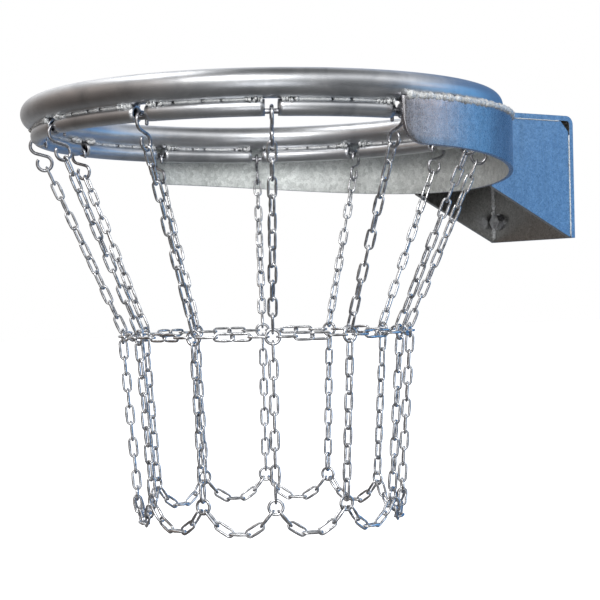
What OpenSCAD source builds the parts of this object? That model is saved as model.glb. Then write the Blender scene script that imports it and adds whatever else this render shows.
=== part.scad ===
// Heavy duty basketball ring with a chain net, on a bent plate wall bracket.
// Frame: the wall is at +Y, +Z is up and +X is to the right of a player who faces the wall.
// The origin is on the bracket's rear face, at the centre of the four mounting bolts.

/* [Ring] */
// Inside diameter of the ring that the ball drops through
ring_inner_d = 450; // [440:1:460]
// Outside diameter of the upper ring's tube
upper_tube_d = 28; // [24:1:28]
// Outside diameter of the lower, slotted ring's tube
lower_tube_d = 16; // [14:1:16]
// Width of each slot that a hook hangs in
slot_w = 12; // [8:1:14]

/* [Bracket] */
// Distance from the ring's centre to the bracket's rear face
reach = 380; // [370:1:390]
// Height of the ring's centre above the centre of the mounting bolts
rise = 62; // [60:1:66]
// Spacing of the mounting bolts across
bolt_across = 110; // [90:1:112]
// Spacing of the mounting bolts up and down
bolt_up = 90; // [80:1:96]
// Width of the bracket plate
plate_w = 142; // [140:1:150]
// Height of the bracket's back plate
back_h = 141.1; // [138:1:146]

/* [Net] */
// Inside length of one chain link
link_inner = 17.5; // [17:0.1:18]
// Diameter of the chain wire
wire_d = 2.5; // [2.2:0.1:2.5]
// Droop of a bottom scallop's second and fourth links, in degrees
scallop_inner_angle = 32; // [30:1:34]
// Droop of a bottom scallop's first and last links, in degrees
scallop_outer_angle = 51.3; // [50:0.1:53]

/* [Hidden] */
$fn = 48;

strands = 12;
pitch_a = 360 / strands;
half_a = pitch_a / 2;
big = 1000;
over = 2; // how far a cutting shape runs past what it cuts
fine = 96;
touch = 0.1; // clearance left between faces that only meet

// Rings, in heights from the upper ring's centre
upper_r = upper_tube_d / 2;
upper_wall = 2.5;
upper_R = ring_inner_d / 2 + upper_r;
lower_r = lower_tube_d / 2;
lower_wall = 2;
lower_inset = 4;
lower_R = upper_R - lower_inset;
lower_z = -sqrt(pow(upper_r + lower_r + touch, 2) - pow(upper_R - lower_R, 2));
slot_a = asin(slot_w / 2 / lower_R);
rod_r = 2.5;
rod_z = lower_z - lower_r + lower_wall + rod_r + touch;

// Hooks: an S of two round loops and a straight, in the plane of the ring's radius
hook_wire = 3.5;
hook_top_R = 8.5;
hook_eye_R = 7.7;
hook_straight = 11;
hook_a = -74.4; // where the upper loop leaves for the straight
hook_top_turn = 272;
hook_eye_turn = 286;
hook_lean = 1.5;
hook_top_x = lower_R + hook_lean;
hook_top_z = rod_z - sqrt(pow(hook_top_R - hook_wire / 2 - rod_r - touch, 2) - pow(hook_lean, 2));
hook_eye_x = hook_top_x + (hook_top_R + hook_eye_R) * cos(hook_a) + hook_straight * sin(hook_a);
hook_eye_z = hook_top_z + (hook_top_R + hook_eye_R) * sin(hook_a) - hook_straight * cos(hook_a);

// Weld lumps between the two rings, beside each slot
weld_inset = 2.5;
weld_half_w = 7.5;
weld_half_h = 4.2;
weld_a = 2.9;
weld_gap_a = 0.25;

// Collar band, bent round the rear half of the rings
band_outer_R = 254;
band_t = 5;
band_shift = 11;
band_top = -10.5;
band_front = -6;
band_corner_r = 24;
band_low = -54.5;
band_sweep_R = 1690;
sweep_fn = 256;
band_end_y = band_shift + band_outer_R + over;

// Bracket: one bent plate with two gussets
plate_t = 6;
plate_top = 9.1;
bend_R = 10;
back_bottom = plate_top - back_h;
plate_gap = 0.2;
plate_front_R = upper_R + upper_r + plate_gap;
gusset_t = 5;
gusset_inset = 1;
gusset_x = plate_w / 2 - gusset_inset - gusset_t;
gusset_chip_y = 12;
gusset_chip_z = 12.5;
gusset_lap = 24;
gusset_front_y = band_outer_R + band_shift - gusset_lap;
gusset_front_z = -68;
hole_r = 5.5;
bolt_r = 5;
shank_r = 4.5; // rolled thread leaves the shank thinner than the thread
stud_out = 6; // thread that stands out of the rear face
bolt_head_h = 6.4;
bolt_head_af = 16;
washer_r = 10;
washer_t = 2;

// Chain
bend_c = wire_d / 2 + 2.5;
link_straight = link_inner - 2 * (bend_c - wire_d / 2);
link_half = link_straight / 2 + bend_c;
crown_play = 0.25;
link_step = 2 * link_half - wire_d - crown_play;
bay_slack = 0.15;
scallop_slack = 0.5;
bay_step = link_step - bay_slack;
scallop_step = link_step - scallop_slack;
ring_R = 7;
ring_wire = 3;
seat = (wire_d + ring_wire) / 2 + crown_play;
seat_play = 0.8;
upper_links = 11;
bay_links = 4;
lower_links = 9;
quarter = 90;
bay_roll = 60;
upper_roll = 81;
hook_play = 0.15;

// Net levels and radii, each found from the chain that reaches it
bay_span = (bay_links - 1) * bay_step + 2 * (link_half - seat);
mid_R = (bay_span / 2 + ring_R * cos(half_a)) / sin(half_a);
upper_first = hook_eye_R - (hook_wire + wire_d) / 2 - hook_play;
upper_span = upper_first + 2 * link_half + (upper_links - 1) * link_step - seat - seat_play;
mid_z = hook_eye_z - sqrt(pow(upper_span, 2) - pow(hook_eye_x - mid_R, 2)) - ring_R;
end_reach = link_half - seat + scallop_step / 2;
scallop_half = end_reach * cos(scallop_outer_angle)
    + scallop_step * cos(scallop_inner_angle) + scallop_step / 2;
low_R = (scallop_half + ring_R * cos(scallop_outer_angle) * cos(half_a)) / sin(half_a);
lower_span = (lower_links - 1) * link_step + 2 * (link_half - seat);
low_z = mid_z - 2 * ring_R - sqrt(pow(lower_span, 2) - pow(mid_R - low_R, 2));

// Angles run from the wall side, +Y, towards +X
function out_dir(a) = [sin(a), cos(a), 0];
function side_dir(a) = [cos(a), -sin(a), 0];
function at(a, r, z) = out_dir(a) * r + [0, 0, z];
function unit(v) = v / norm(v);

zinc = "lightsteelblue";
bright = "silver";

// Moves from the upper ring's centre to the part's origin
module ring_frame() {
    translate([0, -reach, rise]) children();
}

// Puts a child, drawn along X with its width along Y, at a point, direction and side
module along(p, u, s) {
    n = cross(u, s);
    multmatrix([
        [u.x, s.x, n.x, p.x],
        [u.y, s.y, n.y, p.y],
        [u.z, s.z, n.z, p.z],
        [0, 0, 0, 1]
    ]) children();
}

module torus(big_r, small_r) {
    rotate_extrude() translate([big_r, 0]) circle(small_r);
}

module half_bend() {
    rotate([0, 0, -quarter]) rotate_extrude(angle = 180)
        translate([bend_c, 0]) circle(d = wire_d);
}

module link() {
    for (s = [-1, 1])
        translate([-link_straight / 2, s * bend_c, 0]) rotate([0, quarter, 0])
            cylinder(h = link_straight, d = wire_d);
    translate([link_straight / 2, 0, 0]) half_bend();
    rotate([0, 0, 180]) translate([link_straight / 2, 0, 0]) half_bend();
}

// A straight run of links, each rolled on from the one before
module run(p, u, side, first, step, count, roll) {
    n = cross(u, side);
    for (k = [0:count - 1])
        along(p + u * (first + step * k), u, side * cos(roll * k) + n * sin(roll * k)) link();
}

module net_ring(a, r, z) {
    along(at(a, r, z), side_dir(a), [0, 0, 1]) torus(ring_R, ring_wire / 2);
}

module upper_strand(i) {
    a = pitch_a * (i - 1);
    p = at(a, hook_eye_x, hook_eye_z);
    u = unit(at(a, mid_R, mid_z + ring_R) - p);
    color(bright) ring_frame()
        run(p, u, side_dir(a), upper_first + link_half, link_step, upper_links, upper_roll);
}

module lower_strand(i) {
    a = pitch_a * (i - 1);
    p = at(a, mid_R, mid_z - ring_R);
    u = unit(at(a, low_R, low_z + ring_R) - p);
    color(bright) ring_frame()
        run(p, u, cross(u, side_dir(a)), link_half - seat, link_step, lower_links, quarter);
}

module scallop(i) {
    a = pitch_a * (i - 1) + half_a;
    ax = side_dir(a);
    drop = [0, 0, -1];
    o = out_dir(a);
    angles = [scallop_outer_angle, scallop_inner_angle, 0, -scallop_inner_angle, -scallop_outer_angle];
    dirs = [for (g = angles) ax * cos(g) + drop * sin(g)];
    start = at(a, low_R * cos(half_a) + ring_R * cos(scallop_outer_angle) * sin(half_a), low_z)
        - ax * scallop_half + drop * ring_R * sin(scallop_outer_angle);
    j1 = start + dirs[0] * end_reach;
    j2 = j1 + dirs[1] * scallop_step;
    j3 = j2 + dirs[2] * scallop_step;
    j4 = j3 + dirs[3] * scallop_step;
    centres = [
        start + dirs[0] * (link_half - seat),
        (j1 + j2) / 2,
        (j2 + j3) / 2,
        (j3 + j4) / 2,
        j4 + dirs[4] * scallop_step / 2
    ];
    color(bright) ring_frame()
        for (k = [0:4])
            along(centres[k], dirs[k], k % 2 == 0 ? o : cross(o, dirs[k])) link();
}

module upper_ring() {
    color(zinc) ring_frame() rotate_extrude(convexity = 4)
        translate([upper_R, 0]) difference() {
            circle(upper_r);
            circle(upper_r - upper_wall);
        }
}

module lower_ring() {
    color(zinc) ring_frame() translate([0, 0, lower_z])
        for (k = [0:strands - 1])
            rotate([0, 0, k * pitch_a + slot_a]) rotate_extrude(angle = pitch_a - 2 * slot_a)
                translate([lower_R, 0]) difference() {
                    circle(lower_r);
                    circle(lower_r - lower_wall);
                }
}

module net_rod() {
    color(bright) ring_frame() translate([0, 0, rod_z]) torus(lower_R, rod_r);
}

module ring_welds() {
    mid = (upper_r * lower_z) / (upper_r + lower_r);
    color(zinc) ring_frame()
        for (k = [0:strands - 1], s = [-1, 1])
            rotate([0, 0, k * pitch_a + s * (slot_a + weld_gap_a + weld_a / 2) - weld_a / 2])
                rotate_extrude(angle = weld_a) difference() {
                    translate([upper_R - weld_inset - weld_half_w, mid - weld_half_h])
                        square([2 * weld_half_w, 2 * weld_half_h]);
                    translate([upper_R, 0]) circle(upper_r + touch);
                    translate([lower_R, lower_z]) circle(lower_r + touch);
                }
}

module s_hooks() {
    color(bright) ring_frame()
        for (k = [0:strands - 1])
            along(at(k * pitch_a, hook_top_x, hook_top_z), out_dir(k * pitch_a), [0, 0, 1])
                rotate([0, 0, hook_a]) {
                    rotate_extrude(angle = hook_top_turn) translate([hook_top_R, 0]) circle(d = hook_wire);
                    translate([hook_top_R, 0, 0]) rotate([quarter, 0, 0])
                        cylinder(h = hook_straight, d = hook_wire);
                    translate([hook_top_R + hook_eye_R, -hook_straight, 0]) rotate([0, 0, 180])
                        rotate_extrude(angle = hook_eye_turn) translate([hook_eye_R, 0]) circle(d = hook_wire);
                }
}

module along_x(h) {
    rotate([quarter, 0, quarter]) translate([0, 0, -h / 2]) linear_extrude(h) children();
}

module collar_band() {
    color(zinc) ring_frame() intersection() {
        translate([0, band_shift, -big / 2]) difference() {
            cylinder(h = big, r = band_outer_R);
            translate([0, 0, -over / 2]) cylinder(h = big + over, r = band_outer_R - band_t);
        }
        difference() {
            along_x(big) {
                translate([band_front + band_corner_r, band_low - band_corner_r * 2])
                    square([band_end_y, band_top - band_low + band_corner_r * 2]);
                translate([band_front, band_low + band_corner_r])
                    square([band_corner_r * 2, band_top - band_low - band_corner_r]);
                intersection() {
                    translate([band_front + band_corner_r, band_low + band_corner_r])
                        circle(band_corner_r);
                    translate([band_front, band_low])
                        square([band_corner_r, band_top - band_low]);
                }
            }
            along_x(big + over) translate([0, band_low - band_sweep_R]) circle(band_sweep_R, $fn = sweep_fn);
        }
    }
}

module bracket_plate() {
    color(zinc) ring_frame() difference() {
        along_x(plate_w) {
            translate([0, plate_top - plate_t]) square([reach - bend_R, plate_t]);
            translate([reach - plate_t, back_bottom]) square([plate_t, back_h - bend_R]);
            intersection() {
                translate([reach - bend_R, plate_top - bend_R]) difference() {
                    circle(bend_R);
                    circle(bend_R - plate_t);
                }
                translate([reach - bend_R, plate_top - bend_R]) square(bend_R);
            }
        }
        translate([0, 0, -big / 2]) cylinder(h = big, r = plate_front_R, $fn = fine);
        bolt_places() translate([0, 0, -big]) cylinder(h = 2 * big, r = hole_r);
    }
}

// Each mounting bolt's axis, from the plate's front face towards the wall
module bolt_places() {
    for (x = [-1, 1], z = [-1, 1])
        translate([x * bolt_across / 2, reach - plate_t, z * bolt_up / 2 - rise])
            rotate([-quarter, 0, 0]) children();
}

module gusset(side) {
    color(zinc) ring_frame() difference() {
        translate([side * (gusset_x + gusset_t / 2), 0, 0]) along_x(gusset_t) polygon([
            [gusset_front_y, plate_top - plate_t - touch],
            [reach - plate_t - gusset_chip_y, plate_top - plate_t - touch],
            [reach - plate_t - touch, plate_top - plate_t - gusset_chip_z],
            [reach - plate_t - touch, back_bottom],
            [gusset_front_y, gusset_front_z]
        ]);
        translate([0, band_shift, -big / 2]) cylinder(h = big, r = band_outer_R + touch, $fn = fine);
    }
}

module gusset_left() {
    gusset(-1);
}

module gusset_right() {
    gusset(1);
}

module mounting_bolts() {
    color(bright) ring_frame() bolt_places() translate([0, 0, -washer_t]) {
        cylinder(h = washer_t + plate_t, r = shank_r);
        translate([0, 0, washer_t + plate_t]) cylinder(h = stud_out, r = bolt_r);
        translate([0, 0, -bolt_head_h])
            cylinder(h = bolt_head_h, r = bolt_head_af / 2 / cos(30), $fn = 6);
    }
}

module bolt_washers() {
    color(bright) ring_frame() bolt_places() translate([0, 0, -washer_t]) difference() {
        cylinder(h = washer_t, r = washer_r);
        translate([0, 0, -over / 2]) cylinder(h = washer_t + over, r = bolt_r + touch);
    }
}

module mid_rings() {
    color(bright) ring_frame()
        for (k = [0:strands - 1])
            net_ring(k * pitch_a, mid_R, mid_z);
}

module bottom_rings() {
    color(bright) ring_frame()
        for (k = [0:strands - 1])
            net_ring(k * pitch_a, low_R, low_z);
}

module mid_chain() {
    color(bright) ring_frame()
        for (k = [0:strands - 1]) {
            a = k * pitch_a;
            p = at(a, mid_R, mid_z) + side_dir(a) * ring_R;
            q = at(a + pitch_a, mid_R, mid_z) - side_dir(a + pitch_a) * ring_R;
            run(p, unit(q - p), out_dir(a + half_a), link_half - seat, bay_step, bay_links, bay_roll);
        }
}

upper_ring();
lower_ring();
net_rod();
ring_welds();
s_hooks();
collar_band();
bracket_plate();
gusset_left();
gusset_right();
mounting_bolts();
bolt_washers();
mid_rings();
mid_chain();
bottom_rings();
upper_strand(1);  // upper_chain_01
upper_strand(2);  // upper_chain_02
upper_strand(3);  // upper_chain_03
upper_strand(4);  // upper_chain_04
upper_strand(5);  // upper_chain_05
upper_strand(6);  // upper_chain_06
upper_strand(7);  // upper_chain_07
upper_strand(8);  // upper_chain_08
upper_strand(9);  // upper_chain_09
upper_strand(10);  // upper_chain_10
upper_strand(11);  // upper_chain_11
upper_strand(12);  // upper_chain_12
lower_strand(1);  // lower_chain_01
lower_strand(2);  // lower_chain_02
lower_strand(3);  // lower_chain_03
lower_strand(4);  // lower_chain_04
lower_strand(5);  // lower_chain_05
lower_strand(6);  // lower_chain_06
lower_strand(7);  // lower_chain_07
lower_strand(8);  // lower_chain_08
lower_strand(9);  // lower_chain_09
lower_strand(10);  // lower_chain_10
lower_strand(11);  // lower_chain_11
lower_strand(12);  // lower_chain_12
scallop(1);  // scallop_01
scallop(2);  // scallop_02
scallop(3);  // scallop_03
scallop(4);  // scallop_04
scallop(5);  // scallop_05
scallop(6);  // scallop_06
scallop(7);  // scallop_07
scallop(8);  // scallop_08
scallop(9);  // scallop_09
scallop(10);  // scallop_10
scallop(11);  // scallop_11
scallop(12);  // scallop_12
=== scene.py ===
"""Studio view of a galvanised basketball ring with a chain net."""
import math
import random

import bmesh
import bpy
from mathutils import Matrix, Vector


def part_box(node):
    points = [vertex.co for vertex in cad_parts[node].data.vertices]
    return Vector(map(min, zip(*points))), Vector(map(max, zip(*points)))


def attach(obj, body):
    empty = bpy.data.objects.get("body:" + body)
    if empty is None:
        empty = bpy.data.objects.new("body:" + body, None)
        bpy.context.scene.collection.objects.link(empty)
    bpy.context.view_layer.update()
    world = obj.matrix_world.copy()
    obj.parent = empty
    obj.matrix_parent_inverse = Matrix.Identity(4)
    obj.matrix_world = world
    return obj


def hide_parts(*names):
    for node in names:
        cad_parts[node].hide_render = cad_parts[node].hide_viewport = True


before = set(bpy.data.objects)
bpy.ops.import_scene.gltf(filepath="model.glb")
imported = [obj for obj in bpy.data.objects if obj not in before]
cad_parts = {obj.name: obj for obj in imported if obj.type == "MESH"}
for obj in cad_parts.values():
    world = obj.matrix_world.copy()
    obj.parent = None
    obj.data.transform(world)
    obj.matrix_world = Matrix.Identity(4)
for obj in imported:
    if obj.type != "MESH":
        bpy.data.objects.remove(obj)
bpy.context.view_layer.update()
TAU = 2 * math.pi
MM = 0.001

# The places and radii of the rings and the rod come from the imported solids' own boxes.
low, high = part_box("upper_ring")
CENTRE = (low + high) / 2
UPPER_R = (high.x - low.x) / 2 - (high.z - low.z) / 2
UPPER_r = (high.z - low.z) / 2
low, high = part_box("lower_ring")
LOWER_Z = (low.z + high.z) / 2 - CENTRE.z
LOWER_r = (high.z - low.z) / 2
low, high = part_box("net_rod")
ROD_Z = (low.z + high.z) / 2 - CENTRE.z
ROD_r = (high.z - low.z) / 2
LOWER_R = (high.y - low.y) / 2 - ROD_r
low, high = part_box("mid_rings")
MID_Z = (low.z + high.z) / 2 - CENTRE.z
low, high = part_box("bottom_rings")
LOW_Z = (low.z + high.z) / 2 - CENTRE.z

STRANDS = 12
PITCH = TAU / STRANDS
HALF = PITCH / 2
SLOT_A = math.asin(6 * MM / LOWER_R)  # half the angle of a slot in the lower tube
WALL = 2 * MM  # the lower tube's wall, seen at its cut ends

# Chain and ring sizes, as in the solid model
WIRE = 2.5 * MM
ZINC_COAT = 0.12  # how much the coat thickens the middle of a link's sides
BEND = 3.75 * MM
STRAIGHT = 12.5 * MM
LINK_HALF = STRAIGHT / 2 + BEND
STEP = 17.25 * MM
BAY_STEP = 17.1 * MM
SCALLOP_STEP = 16.75 * MM
RING_R = 7 * MM
RING_WIRE = 3 * MM
SEAT = 3 * MM
OUTER_ANGLE = math.radians(51.3)
INNER_ANGLE = math.radians(32)
HOOK_TOP_R, HOOK_EYE_R, HOOK_STRAIGHT, HOOK_LEAN = 8.5 * MM, 7.7 * MM, 11 * MM, 1.5 * MM
HOOK_A = math.radians(-74.4)
HOOK_WIRE = 3.5 * MM
HOOK_TOP_TURN, HOOK_EYE_TURN, HOOK_STEPS = 272, 286, 30
UPPER_FIRST = HOOK_EYE_R - (HOOK_WIRE + WIRE) / 2 - 0.15 * MM
UPPER_LINKS, UPPER_ROLL = 11, math.radians(81)
BAY_LINKS, BAY_ROLL = 4, math.radians(60)
LOWER_LINKS = 9
HOOK_TOP = (LOWER_R + HOOK_LEAN,
            ROD_Z - math.sqrt((HOOK_TOP_R - HOOK_WIRE / 2 - ROD_r - 0.1 * MM) ** 2 - HOOK_LEAN ** 2))
EYE = (HOOK_TOP[0] + (HOOK_TOP_R + HOOK_EYE_R) * math.cos(HOOK_A) + HOOK_STRAIGHT * math.sin(HOOK_A),
       HOOK_TOP[1] + (HOOK_TOP_R + HOOK_EYE_R) * math.sin(HOOK_A) - HOOK_STRAIGHT * math.cos(HOOK_A))


def out_dir(a):
    return Vector((math.sin(a), math.cos(a), 0))


def side_dir(a):
    return Vector((math.cos(a), -math.sin(a), 0))


def at(a, r, z):
    return CENTRE + out_dir(a) * r + Vector((0, 0, z))


MID_R = (1.5 * BAY_STEP + LINK_HALF - SEAT + RING_R * math.cos(HALF)) / math.sin(HALF)
END_REACH = LINK_HALF - SEAT + SCALLOP_STEP / 2
SCALLOP_HALF = END_REACH * math.cos(OUTER_ANGLE) + SCALLOP_STEP * math.cos(INNER_ANGLE) + SCALLOP_STEP / 2
LOW_R = (SCALLOP_HALF + RING_R * math.cos(OUTER_ANGLE) * math.cos(HALF)) / math.sin(HALF)


# ---------------------------------------------------------------- materials

def material(name, metallic=1.0):
    m = bpy.data.materials.new(name)
    m.use_nodes = True
    nt = m.node_tree
    b = nt.nodes["Principled BSDF"]
    b.inputs["Metallic"].default_value = metallic
    return m, nt, b


def coords(nt, scale=(1, 1, 1)):
    tc = nt.nodes.new("ShaderNodeTexCoord")
    mp = nt.nodes.new("ShaderNodeMapping")
    mp.inputs["Scale"].default_value = scale
    nt.links.new(tc.outputs["Object"], mp.inputs["Vector"])
    return mp.outputs["Vector"]


def noise(nt, vec, scale, detail=3.0, rough=0.5, distort=0.0):
    n = nt.nodes.new("ShaderNodeTexNoise")
    n.inputs["Scale"].default_value = scale
    n.inputs["Detail"].default_value = detail
    n.inputs["Roughness"].default_value = rough
    n.inputs["Distortion"].default_value = distort
    nt.links.new(vec, n.inputs["Vector"])
    return n.outputs["Fac"]


def ramp(nt, fac, stops):
    r = nt.nodes.new("ShaderNodeValToRGB")
    e = r.color_ramp.elements
    while len(e) < len(stops):
        e.new(0.5)
    for i, (p, c) in enumerate(stops):
        e[i].position = p
        e[i].color = (*c, 1) if isinstance(c, tuple) else (c, c, c, 1)
    nt.links.new(fac, r.inputs["Fac"])
    return r.outputs["Color"]


def mix(nt, fac, a, b, blend="MIX"):
    m = nt.nodes.new("ShaderNodeMix")
    m.data_type = "RGBA"
    m.blend_type = blend
    for sock, val in ((0, fac), (6, a), (7, b)):
        if isinstance(val, (float, int)):
            m.inputs[sock].default_value = val if sock == 0 else (val, val, val, 1)
        elif isinstance(val, tuple):
            m.inputs[sock].default_value = (*val, 1)
        else:
            nt.links.new(val, m.inputs[sock])
    return m.outputs[2]


def bump(nt, height, strength, distance, normal=None):
    b = nt.nodes.new("ShaderNodeBump")
    b.inputs["Strength"].default_value = strength
    b.inputs["Distance"].default_value = distance
    nt.links.new(height, b.inputs["Height"])
    if normal is not None:
        nt.links.new(normal, b.inputs["Normal"])
    return b.outputs["Normal"]


def spangle(nt, vec, scale):
    v = nt.nodes.new("ShaderNodeTexVoronoi")
    v.inputs["Scale"].default_value = scale
    nt.links.new(vec, v.inputs["Vector"])
    bw = nt.nodes.new("ShaderNodeRGBToBW")
    nt.links.new(v.outputs["Color"], bw.inputs["Color"])
    return bw.outputs["Val"]


def tube_steel():
    """Bright drawn tube under a thin coat of zinc, with soft patches and fine runs."""
    m, nt, b = material("galvanised_tube")
    vec = coords(nt)
    cloud = noise(nt, vec, 26, 5, 0.6, 0.6)
    grit = noise(nt, vec, 900, 2)
    drag = noise(nt, coords(nt, (1, 1, 7)), 60, 4, 0.6)
    base = ramp(nt, cloud, [
        (0.3, (0.50, 0.52, 0.55)), (0.5, (0.64, 0.655, 0.68)), (0.72, (0.74, 0.75, 0.77))])
    dirt = ramp(nt, drag, [(0.28, 0.74), (0.48, 1.0)])
    nt.links.new(mix(nt, 0.35, base, dirt, "MULTIPLY"), b.inputs["Base Color"])
    nt.links.new(ramp(nt, drag, [(0.3, 0.37), (0.7, 0.30)]), b.inputs["Roughness"])
    n = bump(nt, grit, 0.12, 0.0002)
    nt.links.new(bump(nt, cloud, 0.05, 0.0012, n), b.inputs["Normal"])
    return m


def sheet_steel(name, tint, spread, rough, crystal, metallic=1.0):
    """Hot dipped plate: zinc crystals, fine specks and upright runs of the melt."""
    m, nt, b = material(name, metallic)
    vec = coords(nt)
    cell = spangle(nt, vec, crystal)
    fine = noise(nt, vec, 640, 4, 0.65)
    runs = noise(nt, coords(nt, (1, 1, 0.16)), 70, 5, 0.62, 0.4)
    dark, light = tint
    base = ramp(nt, cell, [(0.15, dark), (0.85, light)])
    speck = ramp(nt, fine, [(0.36, 0.62), (0.55, 1.0)])
    flow = ramp(nt, runs, [(0.3, 0.80), (0.62, 1.0)])
    specked = mix(nt, spread, base, speck, "MULTIPLY")
    nt.links.new(mix(nt, spread, specked, flow, "MULTIPLY"), b.inputs["Base Color"])
    nt.links.new(ramp(nt, fine, [(0.3, rough - 0.07), (0.7, rough + 0.1)]), b.inputs["Roughness"])
    n = bump(nt, cell, 0.08, 0.0004)
    n = bump(nt, fine, 0.25, 0.0004, n)
    nt.links.new(bump(nt, runs, 0.22, 0.0012, n), b.inputs["Normal"])
    return m


def wire_zinc(name, dark, light, rough):
    """Bright zinc plated wire, dull in the marks of the bending tools."""
    m, nt, b = material(name)
    vec = coords(nt)
    patch = noise(nt, vec, 170, 3, 0.6, 0.4)
    fine = noise(nt, vec, 1400, 2)
    nt.links.new(ramp(nt, patch, [(0.32, dark), (0.6, light)]), b.inputs["Base Color"])
    nt.links.new(ramp(nt, patch, [(0.3, rough + 0.16), (0.65, rough)]), b.inputs["Roughness"])
    n = bump(nt, patch, 0.2, 0.0006)
    nt.links.new(bump(nt, fine, 0.15, 0.0002, n), b.inputs["Normal"])
    return m


def weld_zinc():
    """Weld metal under zinc: pale, pitted and uneven."""
    m, nt, b = material("galvanised_weld", 0.35)
    vec = coords(nt)
    lump = noise(nt, vec, 260, 5, 0.7)
    base = ramp(nt, lump, [
        (0.3, (0.42, 0.43, 0.44)), (0.5, (0.74, 0.75, 0.76)), (0.7, (0.95, 0.95, 0.95))])
    nt.links.new(base, b.inputs["Base Color"])
    nt.links.new(ramp(nt, lump, [(0.3, 0.5), (0.7, 0.2)]), b.inputs["Roughness"])
    nt.links.new(bump(nt, lump, 0.8, 0.0014), b.inputs["Normal"])
    return m


TUBE = tube_steel()
BAND = sheet_steel("galvanised_band", ((0.50, 0.49, 0.52), (0.62, 0.61, 0.64)), 0.75, 0.28, 260)
# A paler, less metallic copy of the band's zinc for its inner face: its paler base colour is painted
# light, standing for the bright reflection that face takes from the lights.
BAND_INSIDE_PAINTED_LIGHT = sheet_steel(
    "galvanised_band_inside_painted_light", ((0.66, 0.69, 0.68), (0.90, 0.93, 0.92)), 0.6, 0.42, 230, 0.3)
PLATE = sheet_steel("galvanised_plate", ((0.44, 0.44, 0.43), (0.58, 0.58, 0.57)), 0.7, 0.36, 420)
# Zinc plate with a painted blue reflection: the blue of the card lamp is also put into the base colour, on
# top of that lamp's own light.
PAINTED_BLUE_REFLECTION = sheet_steel("galvanised_painted_blue_reflection", ((0.24, 0.39, 0.58), (0.33, 0.51, 0.71)), 0.7, 0.33, 420)
CHAIN = wire_zinc("zinc_chain", (0.30, 0.31, 0.33), (0.92, 0.93, 0.95), 0.13)
HOOK = wire_zinc("zinc_hook", (0.26, 0.26, 0.28), (0.64, 0.65, 0.68), 0.22)
FIXING = wire_zinc("zinc_fixing", (0.40, 0.41, 0.43), (0.70, 0.71, 0.73), 0.3)
WELD = weld_zinc()


# ---------------------------------------------------------------- pieces

def piece(name, verts, faces, mat, body, slot, *nodes):
    me = bpy.data.meshes.new(name)
    me.from_pydata(verts, [], faces)
    bm = bmesh.new()
    bm.from_mesh(me)
    bmesh.ops.recalc_face_normals(bm, faces=bm.faces)
    bm.to_mesh(me)
    bm.free()
    me.materials.append(mat)
    me.polygons.foreach_set("use_smooth", [True] * len(me.polygons))
    me.update()
    ob = bpy.data.objects.new(name, me)
    bpy.context.scene.collection.objects.link(ob)
    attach(ob, body)
    if nodes:
        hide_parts(*nodes)
    return ob


class Shape:
    """Grows one mesh out of many swept wires, tubes and beads."""

    def __init__(self):
        self.v, self.f = [], []

    def sweep(self, pts, sides, ups, radius, k=10, closed=True, caps=False):
        """A round wire through pts. Sides and ups span its section; radius is one number or a list."""
        n, base = len(pts), len(self.v)
        for i, p in enumerate(pts):
            r = radius[i] if isinstance(radius, list) else radius
            for j in range(k):
                t = TAU * j / k
                self.v.append(p + sides[i] * (r * math.cos(t)) + ups[i] * (r * math.sin(t)))
        for i in range(n if closed else n - 1):
            a, b = base + i * k, base + ((i + 1) % n) * k
            for j in range(k):
                j2 = (j + 1) % k
                self.f.append((a + j, a + j2, b + j2, b + j))
        if caps and not closed:
            self.f.append(tuple(base + j for j in reversed(range(k))))
            self.f.append(tuple(base + (n - 1) * k + j for j in range(k)))

    def loop(self, c, u, s, pts2d, radii, k=10, closed=True, caps=False):
        """A wire that follows a flat outline, given as (along u, along s, outward u, outward s)."""
        n = u.cross(s)
        self.sweep([c + u * x + s * y for x, y, _, _ in pts2d],
                   [u * a + s * b for _, _, a, b in pts2d],
                   [n] * len(pts2d), radii, k, closed, caps)


def stadium(rng):
    """A link's centreline and the swell of its butt weld, half way down one side."""
    pts, rad = [], []
    h, m = STRAIGHT / 2, 5
    swell = 1.0 + rng.uniform(0.10, 0.22)
    for sgn in (1, -1):
        for i in range(m + 1):
            x = -h + STRAIGHT * i / m
            pts.append((x * sgn, BEND * sgn, 0.0, float(sgn)))
            near = max(0.0, 1 - abs(x) / (0.30 * STRAIGHT))
            coat = ZINC_COAT * (1 - (x / h) ** 2)
            rad.append(WIRE / 2 * (1 + coat + (swell - 1) * near * (sgn == 1)))
        for i in range(1, 8):
            t = math.pi * i / 8
            x, y = sgn * math.sin(t), sgn * math.cos(t)
            pts.append((sgn * h + BEND * x, BEND * y, x, y))
            rad.append(WIRE / 2)
    return pts, rad


def add_link(shape, c, u, s, rng):
    pts, rad = stadium(rng)
    if rng.random() < 0.5:
        s = -s
    shape.loop(c, u, s, pts, rad)


def add_run(shape, p, u, side, first, step, count, roll, rng):
    n = u.cross(side)
    for k in range(count):
        t = roll * k
        add_link(shape, p + u * (first + step * k), u, side * math.cos(t) + n * math.sin(t), rng)


def circle_pts(r, n):
    turn = [(math.cos(TAU * i / n), math.sin(TAU * i / n)) for i in range(n)]
    return [(r * x, r * y, x, y) for x, y in turn]


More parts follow.
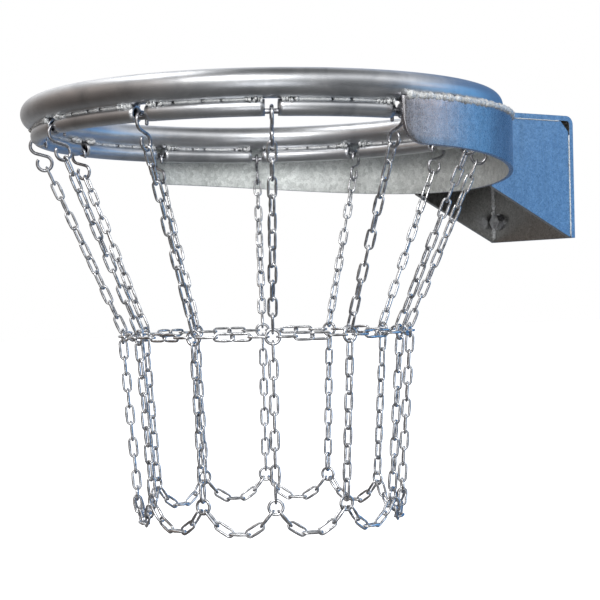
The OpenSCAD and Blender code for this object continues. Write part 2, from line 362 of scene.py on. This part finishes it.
Z = Vector((0, 0, 1))
QUARTER = math.pi / 2
for i in range(STRANDS):
    a = PITCH * i
    tag = f"{i + 1:02d}"
    rng = random.Random(100 + i)
    s = Shape()
    p = at(a, *EYE)
    u = (at(a, MID_R, MID_Z + RING_R) - p).normalized()
    add_run(s, p, u, side_dir(a), UPPER_FIRST + LINK_HALF, STEP, UPPER_LINKS, UPPER_ROLL, rng)
    piece(f"upper_links_{tag}", s.v, s.f, CHAIN, f"strand_{tag}", "zinc_wire", f"upper_chain_{tag}")

    s = Shape()
    p = at(a, MID_R, MID_Z - RING_R)
    u = (at(a, LOW_R, LOW_Z + RING_R) - p).normalized()
    add_run(s, p, u, u.cross(side_dir(a)), LINK_HALF - SEAT, STEP, LOWER_LINKS, QUARTER, rng)
    piece(f"lower_links_{tag}", s.v, s.f, CHAIN, "net", "zinc_wire", f"lower_chain_{tag}")

    b = a + HALF
    ax, o = side_dir(b), out_dir(b)
    falls = (OUTER_ANGLE, INNER_ANGLE, 0, -INNER_ANGLE, -OUTER_ANGLE)
    dirs = [ax * math.cos(g) - Z * math.sin(g) for g in falls]
    start = at(b, LOW_R * math.cos(HALF) + RING_R * math.cos(OUTER_ANGLE) * math.sin(HALF),
               LOW_Z - RING_R * math.sin(OUTER_ANGLE)) - ax * SCALLOP_HALF
    j = [start + dirs[0] * END_REACH]
    for d in dirs[1:]:
        j.append(j[-1] + d * SCALLOP_STEP)
    centres = [start + dirs[0] * (LINK_HALF - SEAT)] + [(j[k] + j[k + 1]) / 2 for k in range(4)]
    s = Shape()
    for k in range(5):
        add_link(s, centres[k], dirs[k], o if k % 2 == 0 else o.cross(dirs[k]), rng)
    piece(f"scallop_links_{tag}", s.v, s.f, CHAIN, f"scallop_{tag}_chain", "zinc_wire", f"scallop_{tag}")


def hook_path():
    """The hook's centreline from its upper end, and its radius, which narrows at the sheared ends."""
    flat = []
    for k in range(HOOK_STEPS + 1):
        t = math.radians(HOOK_TOP_TURN * (1 - k / HOOK_STEPS))
        flat.append((HOOK_TOP_R * math.cos(t), HOOK_TOP_R * math.sin(t), math.cos(t), math.sin(t)))
    for k in range(HOOK_STEPS + 1):
        t = math.pi + math.radians(HOOK_EYE_TURN * k / HOOK_STEPS)
        flat.append((HOOK_TOP_R + HOOK_EYE_R + HOOK_EYE_R * math.cos(t),
                     -HOOK_STRAIGHT + HOOK_EYE_R * math.sin(t), -math.cos(t), -math.sin(t)))
    c, d = math.cos(HOOK_A), math.sin(HOOK_A)
    path = [(x * c - y * d, x * d + y * c, a * c - b * d, a * d + b * c) for x, y, a, b in flat]
    sheared = 0.86
    return path, [HOOK_WIRE / 2 * (sheared if k in (0, len(path) - 1) else 1) for k in range(len(path))]


rng = random.Random(7)
bays, mids, lows, hooks = Shape(), Shape(), Shape(), Shape()
for i in range(STRANDS):
    a = PITCH * i
    p = at(a, MID_R, MID_Z) + side_dir(a) * RING_R
    q = at(a + PITCH, MID_R, MID_Z) - side_dir(a + PITCH) * RING_R
    u = (q - p).normalized()
    add_run(bays, p, u, out_dir(a + HALF), LINK_HALF - SEAT, BAY_STEP, BAY_LINKS, BAY_ROLL, rng)
    mids.loop(at(a, MID_R, MID_Z), side_dir(a), Z, circle_pts(RING_R, 36), RING_WIRE / 2, 12)
    lows.loop(at(a, LOW_R, LOW_Z), side_dir(a), Z, circle_pts(RING_R, 36), RING_WIRE / 2, 12)
    path, rad = hook_path()
    hooks.loop(at(a, *HOOK_TOP), out_dir(a), Z, path, rad, 14, closed=False, caps=True)
piece("bay_links", bays.v, bays.f, CHAIN, "net", "zinc_wire", "mid_chain")
piece("mid_ring_wires", mids.v, mids.f, CHAIN, "net", "zinc_wire", "mid_rings")
piece("bottom_ring_wires", lows.v, lows.f, CHAIN, "net", "zinc_wire", "bottom_rings")
piece("hook_wires", hooks.v, hooks.f, HOOK, "frame", "zinc_wire", "s_hooks")


# ---------------------------------------------------------------- tubes

def arc(r, z, a0, a1, n, closed=False):
    steps = n if closed else n + 1
    angs = [a0 + (a1 - a0) * i / n for i in range(steps)]
    return [at(a, r, z) for a in angs], [out_dir(a) for a in angs], [Z] * steps


s = Shape()
pts, sides, ups = arc(UPPER_R, 0, 0, TAU, 240, True)
s.sweep(pts, sides, ups, UPPER_r, 48)
piece("upper_tube", s.v, s.f, TUBE, "frame", "galvanised", "upper_ring")

s = Shape()
for i in range(STRANDS):
    a0, a1 = PITCH * i + SLOT_A, PITCH * (i + 1) - SLOT_A
    n, k = 24, 32
    pts, sides, ups = arc(LOWER_R, LOWER_Z, a0, a1, n)
    lip = 0.25 * MM
    base = len(s.v)
    s.sweep(pts, sides, ups, [LOWER_r - lip] + [LOWER_r] * (n - 1) + [LOWER_r - lip], k, False)
    inner = len(s.v)
    s.sweep(pts, sides, ups, LOWER_r - WALL, k, False)
    for end in (0, n):
        for j in range(k):
            j2 = (j + 1) % k
            q = (base + end * k + j, base + end * k + j2, inner + end * k + j2, inner + end * k + j)
            s.f.append(q if end == 0 else tuple(reversed(q)))
piece("lower_tubes", s.v, s.f, TUBE, "frame", "galvanised", "lower_ring")

s = Shape()
pts, sides, ups = arc(LOWER_R, ROD_Z, 0, TAU, 180, True)
s.sweep(pts, sides, ups, ROD_r, 14)
piece("hook_rod", s.v, s.f, HOOK, "frame", "zinc_wire", "net_rod")


# ---------------------------------------------------------------- welds

def bead(shape, pts, radius, rng, k=10, rough=0.25):
    """A weld bead along pts: one ripple for each pass of the torch, uneven in size and place."""
    n = len(pts)
    for i in range(n - 1):
        if (pts[i + 1] - pts[i]).length < 1e-7:
            return
    sides, ups, rad, mid = [], [], [], []
    for i in range(n):
        t = (pts[min(i + 1, n - 1)] - pts[max(i - 1, 0)]).normalized()
        ref = Z if abs(t.z) < 0.9 else Vector((1, 0, 0))
        s1 = t.cross(ref).normalized()
        sides.append(s1)
        ups.append(s1.cross(t))
        ends = min(1.0, 0.35 + 0.5 * min(i, n - 1 - i))
        rad.append(radius * ends * (1 + rough * (rng.random() - 0.5) + 0.12 * math.sin(i * 2.1)))
        mid.append(pts[i] + s1 * (rng.random() - 0.5) * radius * rough)
    base = len(shape.v)
    shape.sweep(mid, sides, ups, rad, k, False, True)
    for i in range(base, len(shape.v)):
        c = mid[(i - base) // k]
        shape.v[i] = c + (shape.v[i] - c) * (1 + 0.9 * rough * (rng.random() - 0.5))


rng = random.Random(21)
lumps = Shape()
mid_z = UPPER_r * LOWER_Z / (UPPER_r + LOWER_r)
for i in range(STRANDS):
    for sgn in (-1, 1):
        for r_off, z_off, size in ((5.4 * MM, -1.2 * MM, 3.3 * MM), (-7.2 * MM, 0.9 * MM, 3.9 * MM)):
            a0 = PITCH * i + sgn * (SLOT_A + math.radians(0.5))
            for k in range(7):
                a1 = a0 + sgn * math.radians(0.55 * k + rng.uniform(-0.2, 0.2))
                a2 = a1 + sgn * math.radians(rng.uniform(0.3, 0.9))
                r = UPPER_R - 2.5 * MM + r_off + rng.uniform(-0.9, 0.9) * MM
                z = mid_z + z_off + rng.uniform(-1.0, 0.8) * MM
                blob = size * rng.uniform(0.55, 1.05) * (1 - 0.06 * k)
                bead(lumps, [at(a1 + (a2 - a1) * q / 3, r, z) for q in range(4)], blob, rng, rough=0.8)
    # between the slots a film of zinc closes the crevice, with short breaks
    for r_film, z_film in ((UPPER_R + 1.0 * MM, -14.7 * MM), (UPPER_R - 6.0 * MM, -13.3 * MM)):
        a, end = PITCH * i + SLOT_A + math.radians(3.4), PITCH * (i + 1) - SLOT_A - math.radians(3.4)
        while a < end:
            stop = min(end, a + math.radians(rng.uniform(3.0, 9.0)))
            n = max(3, int((stop - a) / math.radians(0.45)))
            pts = [at(a + (stop - a) * k / n, r_film, z_film) for k in range(n + 1)]
            bead(lumps, pts, 1.35 * MM, rng, 8, 0.3)
            a = stop + math.radians(rng.uniform(0.15, 0.5))
piece("slot_welds", lumps.v, lumps.f, WELD, "frame", "galvanised", "ring_welds")


# ---------------------------------------------------------------- collar band

BAND_R, BAND_T, BAND_SHIFT = 254 * MM, 5 * MM, 11 * MM
BAND_TOP, BAND_LOW, BAND_FRONT = -10.5 * MM, -54.5 * MM, -6 * MM
BAND_CORNER, BAND_SWEEP = 24 * MM, 1690 * MM  # radii of the rounded ends and of the lower edge
PLATE_T = 6 * MM


def band_low(y):
    """Height of the band's lower edge at a distance y behind the ring's centre."""
    edge = BAND_LOW - BAND_SWEEP + math.sqrt(BAND_SWEEP ** 2 - y ** 2)
    if y < BAND_FRONT + BAND_CORNER:
        x = min(BAND_CORNER, BAND_FRONT + BAND_CORNER - y)
        edge = max(edge, BAND_LOW + BAND_CORNER - math.sqrt(max(0.0, BAND_CORNER ** 2 - x ** 2)))
    return edge


def band_piece():
    start = math.acos((BAND_FRONT - BAND_SHIFT) / BAND_R)
    angs, n = [], 150
    for i in range(n + 1):
        t = i / n
        e = 0.5 - 0.5 * math.cos(math.pi * t)
        angs.append(-start + 2 * start * (0.35 * e + 0.65 * t))
    centre = CENTRE + Vector((0, BAND_SHIFT, 0))
    r, verts, faces, rows = 0.7 * MM, [], [], []
    for a in angs:
        o = out_dir(a)
        y = o.y * BAND_R + BAND_SHIFT
        lo = band_low(max(y, BAND_FRONT + 1e-6))
        row = []
        for cx, cz, q in ((BAND_R - r, BAND_TOP - r, 0), (BAND_R - BAND_T + r, BAND_TOP - r, 1),
                          (BAND_R - BAND_T + r, lo + r, 2), (BAND_R - r, lo + r, 3)):
            for k in range(4):
                t = QUARTER * q + QUARTER * k / 3
                row.append((cx + r * math.cos(t), cz + r * math.sin(t)))
            if q == 1:
                for k in range(1, 6):
                    row.append((BAND_R - BAND_T, BAND_TOP - r + (lo + 2 * r - BAND_TOP) * k / 6))
        for k in range(1, 6):
            row.append((BAND_R, lo + r + (BAND_TOP - lo - 2 * r) * k / 6))
        rows.append(len(verts))
        verts += [centre + o * x + Z * z for x, z in row]
    m = rows[1] - rows[0]
    for i in range(len(rows) - 1):
        for j in range(m):
            j2 = (j + 1) % m
            faces.append((rows[i] + j, rows[i + 1] + j, rows[i + 1] + j2, rows[i] + j2))
    faces.append(tuple(rows[0] + j for j in range(m)))
    faces.append(tuple(rows[-1] + j for j in reversed(range(m))))
    ob = piece("collar_sheet", verts, faces, BAND, "frame", "galvanised", "collar_band")
    # Faces turned toward the ring's axis take the paler inside copy, which is painted light.
    ob.data.materials.append(BAND_INSIDE_PAINTED_LIGHT)
    for f in ob.data.polygons:
        from_axis = (f.center - centre).to_2d()
        if f.normal.to_2d().dot(from_axis) < -0.7 * from_axis.length:
            f.material_index = 1


band_piece()


# ---------------------------------------------------------------- plates and fixings

def rounded_copy(name, cad, mat, width, angle=30, flank=None):
    """The solid's own shape, with its flat faces made whole and its edges softened."""
    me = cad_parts[cad].data.copy()
    bm = bmesh.new()
    bm.from_mesh(me)
    bmesh.ops.remove_doubles(bm, verts=bm.verts, dist=1e-6)
    bmesh.ops.dissolve_limit(bm, angle_limit=math.radians(0.5), verts=bm.verts, edges=bm.edges)
    bm.to_mesh(me)
    bm.free()
    me.materials.clear()
    me.materials.append(mat)
    # Faces that point outward along x take the flank material, which for the bracket carries a painted
    # blue reflection.
    if flank:
        me.materials.append(flank)
        for f in me.polygons:
            f.material_index = int(f.normal.x * f.center.x > 0.9 * abs(f.center.x))
    me.polygons.foreach_set("use_smooth", [True] * len(me.polygons))
    ob = bpy.data.objects.new(name, me)
    bpy.context.scene.collection.objects.link(ob)
    bev = ob.modifiers.new("edge", "BEVEL")
    bev.width = width
    bev.segments = 3
    bev.limit_method = "ANGLE"
    bev.angle_limit = math.radians(angle)
    even = ob.modifiers.new("even", "WEIGHTED_NORMAL")
    even.weight = 100
    even.keep_sharp = True
    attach(ob, "frame")
    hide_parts(cad)
    return ob


rounded_copy("wall_plate", "bracket_plate", PLATE, 0.7 * MM, flank=PAINTED_BLUE_REFLECTION)
rounded_copy("gusset_plate_left", "gusset_left", PLATE, 0.6 * MM, flank=PAINTED_BLUE_REFLECTION)
rounded_copy("gusset_plate_right", "gusset_right", PLATE, 0.6 * MM, flank=PAINTED_BLUE_REFLECTION)
rounded_copy("hex_bolts", "mounting_bolts", FIXING, 0.5 * MM)
rounded_copy("flat_washers", "bolt_washers", FIXING, 0.25 * MM)

rng = random.Random(33)
seams = Shape()
low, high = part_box("gusset_right")
plate_low, plate_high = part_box("bracket_plate")
back = plate_high.y - PLATE_T
top = plate_high.z - PLATE_T
for sgn in (-1, 1):
    inner = sgn * low.x
    # inside corner between gusset and back plate
    n = 46
    foot = plate_low.z + 4 * MM
    rise = top - plate_low.z - 18 * MM
    pts = [Vector((inner - sgn * 0.6 * MM, back - 0.8 * MM, foot + rise * k / n)) for k in range(n + 1)]
    bead(seams, pts, 2.6 * MM, rng, rough=0.4)
    # gusset to the band, on the outside
    outer = sgn * high.x
    yb = CENTRE.y + BAND_SHIFT + math.sqrt(BAND_R ** 2 - high.x ** 2)
    foot = CENTRE.z - 68 * MM
    pts = [Vector((outer - sgn * 0.4 * MM, yb - 0.2 * MM, foot + 58 * MM * k / 24)) for k in range(25)]
    bead(seams, pts, 2.0 * MM, rng, rough=0.4)
    # fine fillets where the gusset's outer face meets the bent plate
    edge = outer + sgn * 0.2 * MM
    front = yb + 3 * MM
    pts = [Vector((edge, front + (back - 14 * MM - front) * k / 90, top - 0.1 * MM)) for k in range(91)]
    bead(seams, pts, 0.9 * MM, rng, 8, 0.3)
    foot = plate_low.z + 2 * MM
    pts = [Vector((edge, back + 0.1 * MM, foot + (top - 15 * MM - foot) * k / 90)) for k in range(91)]
    bead(seams, pts, 0.9 * MM, rng, 8, 0.3)
# top plate to the upper ring
n = 60
span = math.asin(0.068 / (UPPER_R + UPPER_r))
pts = [at(-span + 2 * span * k / n, UPPER_R + UPPER_r - 0.6 * MM, 8.2 * MM) for k in range(n + 1)]
bead(seams, pts, 2.8 * MM, rng, rough=0.4)
pts = [at(-span + 2 * span * k / n, UPPER_R + UPPER_r - 0.4 * MM, 2.4 * MM) for k in range(n + 1)]
bead(seams, pts, 2.4 * MM, rng, rough=0.4)
# collar band to the upper ring, all along its top edge near each end
for sgn in (-1, 1):
    n = 170
    a0, a1 = math.radians(92.6), math.radians(30)
    pts = []
    for k in range(n + 1):
        a = a0 + (a1 - a0) * k / n
        r = BAND_R - 1.6 * MM
        pts.append(CENTRE + Vector((sgn * math.sin(a) * r, BAND_SHIFT + math.cos(a) * r, -9.6 * MM)))
    bead(seams, pts, 3.2 * MM, rng, rough=0.6)
    bead(seams, pts[:7], 4.2 * MM, rng, rough=0.5)
piece("plate_welds", seams.v, seams.f, WELD, "frame", "galvanised")


# ---------------------------------------------------------------- camera

AZ, EL, ROLL = math.radians(58.0), math.radians(-6.94), -0.0200
DIST, LENS, SENSOR = 1.599, 89.718, 36
AIM_RIGHT, AIM_UP = -0.025079, 0.123654  # where the ring's centre lies off the camera's axis, as tangents


def make_camera():
    d = Vector((math.sin(AZ) * math.cos(EL), -math.cos(AZ) * math.cos(EL), math.sin(EL)))
    fw = -d
    right = fw.cross(Z).normalized()
    up = right.cross(fw)
    r2 = right * math.cos(ROLL) + up * math.sin(ROLL)
    u2 = up * math.cos(ROLL) - right * math.sin(ROLL)
    v = Vector((AIM_RIGHT, AIM_UP, 1)).normalized()
    m = Vector((0, 0, 1)).rotation_difference(v).to_matrix()
    rows = m @ Matrix((r2, u2, fw))
    cam = bpy.data.cameras.new("camera")
    cam.sensor_width = SENSOR
    cam.lens = LENS
    cam.clip_start = 0.01
    ob = bpy.data.objects.new("camera", cam)
    bpy.context.scene.collection.objects.link(ob)
    basis = Matrix((rows[0], rows[1], -rows[2])).transposed().to_4x4()
    ob.matrix_world = Matrix.Translation(CENTRE + d * DIST) @ basis
    bpy.context.scene.camera = ob


make_camera()


# ---------------------------------------------------------------- studio

def area(name, loc, aim, size, size_y, colour, watts):
    li = bpy.data.lights.new(name, "AREA")
    li.shape = "RECTANGLE"
    li.size, li.size_y = size, size_y
    li.color = colour
    li.energy = watts
    ob = bpy.data.objects.new(name, li)
    bpy.context.scene.collection.objects.link(ob)
    ob.visible_camera = False
    ob.location = loc
    ob.rotation_euler = (Vector(aim) - Vector(loc)).to_track_quat("-Z", "Y").to_euler()
    return ob


area("key", (1.45, -1.75, 1.3), (0, -0.35, 0), 1.3, 0.8, (1, 0.99, 0.97), 18)
area("top", (-0.7, -1.0, 1.9), (0, -0.4, 0), 1.4, 0.8, (1, 1, 1), 10)
area("front_fill", (1.9, -1.5, -0.5), (0, -0.3, -0.1), 1.0, 1.0, (0.97, 0.98, 1), 5)
area("blue_card", (0.93, 1.19, 0.15), (0.07, -0.04, 0.0), 1.7, 1.3, (0.15, 0.46, 0.82), 4.3)
area("warm_card", (0.85, 0.31, 0.22), (0.25, -0.35, 0.07), 0.3, 0.1, (1.0, 0.55, 0.22), 0.1)
area("soft_fill", (1.9, -1.5, 0.4), (0, -0.3, 0), 1.4, 1.4, (0.96, 1.0, 0.98), 23).visible_glossy = False

world = bpy.data.worlds.new("studio")
bpy.context.scene.world = world
world.use_nodes = True
wt = world.node_tree
bg = wt.nodes["Background"]
tc = wt.nodes.new("ShaderNodeTexCoord")
sep = wt.nodes.new("ShaderNodeSeparateXYZ")
wt.links.new(tc.outputs["Generated"], sep.inputs["Vector"])


def span01(value, low_end, high_end):
    m = wt.nodes.new("ShaderNodeMapRange")
    m.inputs["From Min"].default_value = low_end
    m.inputs["From Max"].default_value = high_end
    wt.links.new(value, m.inputs["Value"])
    return m.outputs["Result"]


def toward(x, y, z):
    d = wt.nodes.new("ShaderNodeVectorMath")
    d.operation = "DOT_PRODUCT"
    wt.links.new(tc.outputs["Generated"], d.inputs[0])
    d.inputs[1].default_value = Vector((x, y, z)).normalized()
    return d.outputs["Value"]


height = span01(sep.outputs["Z"], -1, 1)
sky = ramp(wt, height, [
    (0.0, 0.14), (0.30, 0.27), (0.47, 0.43), (0.60, 0.68),
    (0.74, 1.25), (0.84, 1.0), (0.95, 0.15), (1.0, 0.12)])
side = ramp(wt, span01(toward(-0.25, 0.97, 0), -1, 1), [(0.74, 0.0), (0.90, 1.0)])
level = ramp(wt, height, [(0.15, 0.2), (0.35, 1.0), (0.80, 1.0), (0.93, 0.0)])
dusk = ramp(wt, span01(toward(0.95, 0.25, 0), -1, 1), [(0.90, 1.0), (0.97, 0.35)])
sky = mix(wt, 1.0, sky, dusk, "MULTIPLY")
shade = ramp(wt, span01(toward(-0.53, -0.85, 0), -1, 1), [(0.66, 1.0), (0.92, (0.36, 0.31, 0.28))])
sky = mix(wt, 1.0, sky, shade, "MULTIPLY")
blue = mix(wt, mix(wt, 1.0, side, level, "MULTIPLY"), sky, (0.08, 0.20, 0.42))
lp = wt.nodes.new("ShaderNodeLightPath")
wt.links.new(mix(wt, lp.outputs["Is Camera Ray"], blue, (1.0, 1.0, 1.0)), bg.inputs["Color"])
bg.inputs["Strength"].default_value = 1.0

floor = bpy.data.meshes.new("floor")
floor.from_pydata([(-40, -40, -1.3), (40, -40, -1.3), (40, 40, -1.3), (-40, 40, -1.3)], [], [(0, 1, 2, 3)])
fm, _, fb = material("floor_paint", 0.0)
fb.inputs["Base Color"].default_value = (0.9, 0.9, 0.9, 1)
fb.inputs["Roughness"].default_value = 0.8
fb.inputs["Emission Color"].default_value = (1, 1, 1, 1)
fb.inputs["Emission Strength"].default_value = 0.9
floor.materials.append(fm)
floor_ob = bpy.data.objects.new("floor", floor)
bpy.context.scene.collection.objects.link(floor_ob)
floor_ob.visible_glossy = False
floor_ob.visible_diffuse = False

bpy.context.scene.view_settings.view_transform = "Standard"
